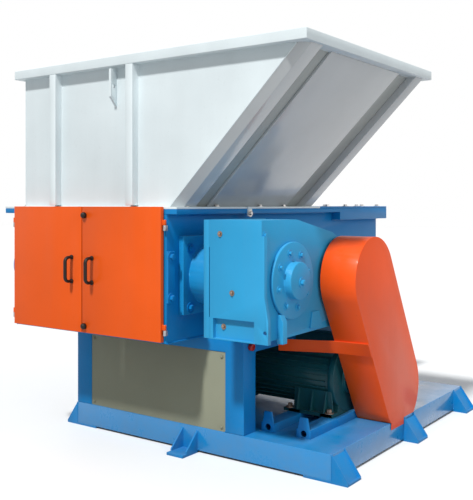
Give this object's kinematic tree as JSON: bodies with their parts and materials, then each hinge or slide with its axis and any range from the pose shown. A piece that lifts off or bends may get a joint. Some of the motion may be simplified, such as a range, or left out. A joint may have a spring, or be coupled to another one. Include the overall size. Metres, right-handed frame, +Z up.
{
  "type": "single shaft shredder",
  "caption": "Floor-standing waste shredder: sloped white hopper, knife rotor behind two orange doors, blue reducer, belt guard and motor on a welded base",
  "frame": {"origin": "on the floor, under the middle of the overall box", "axes": "+X along the rotor to the drive side, +Y away from the doors, +Z up"},
  "size_m": [2.46, 2.724, 2.29],
  "materials": {
    "frame_blue": "semi-gloss enamel",
    "reducer_blue": "semi-gloss enamel on a casting",
    "hopper_white": "semi-gloss enamel",
    "slope_grey": "semi-gloss enamel",
    "door_orange": "gloss enamel",
    "guard_orange": "gloss enamel",
    "panel_grey": "matt enamel",
    "motor_green": "semi-gloss enamel on a casting",
    "black_plastic": "moulded",
    "button_red": "moulded",
    "wear_steel": "worn bright",
    "tool_steel": "ground",
    "pulley_iron": "turned",
    "belt_rubber": "moulded"
  },
  "bodies": {
    "machine": {"base_deck": "frame_blue", "base_feet": "frame_blue", "bearing_cover": "frame_blue", "bearing_housings": "frame_blue", "bed_knife": "tool_steel", "belt_guard": "guard_orange", "chamber_cross_plates": "frame_blue", "chamber_flange": "frame_blue", "chamber_side_plates": "frame_blue", "door_hinges": "black_plastic", "drive_belts": "belt_rubber", "feed_floor": "wear_steel", "frame_panels": "panel_grey", "front_foot": "frame_blue", "guard_bracket": "guard_orange", "hopper_end_walls": "hopper_white", "hopper_foot_flange": "hopper_white", "hopper_left_wall": "hopper_white", "hopper_ribs": "hopper_white", "hopper_rim": "hopper_white", "hopper_slope_wall": "hopper_white", "lifting_lug": "hopper_white", "motor_body": "motor_green", "motor_end_covers": "motor_green", "motor_feet": "motor_green", "motor_pulley": "pulley_iron", "motor_rails": "frame_blue", "pusher": "wear_steel", "rear_cover": "frame_blue", "reducer_cover": "reducer_blue", "reducer_flange_plate": "reducer_blue", "reducer_housing": "reducer_blue", "reducer_pulley": "pulley_iron", "rotor": "wear_steel", "rotor_knives": "tool_steel", "screen": "wear_steel", "slope_channels": "slope_grey", "slope_panel": "slope_grey", "stop_button": "button_red", "support_frame": "frame_blue"},
    "left_leaf": {"left_door": "door_orange", "left_handle": "black_plastic"},
    "right_leaf": {"right_door": "door_orange", "right_handle": "black_plastic", "door_locks": "black_plastic"}
  },
  "joints": [
    {"name": "left_door_swing", "type": "hinge", "parent": "machine", "child": "left_leaf", "pos_m": [-0.951, -1.284, 1.045], "axis": [0, 0, -1], "range_deg": [0, 110]},
    {"name": "right_door_swing", "type": "hinge", "parent": "machine", "child": "right_leaf", "pos_m": [0.305, -1.284, 1.045], "axis": [0, 0, 1], "range_deg": [0, 110]}
  ]
}
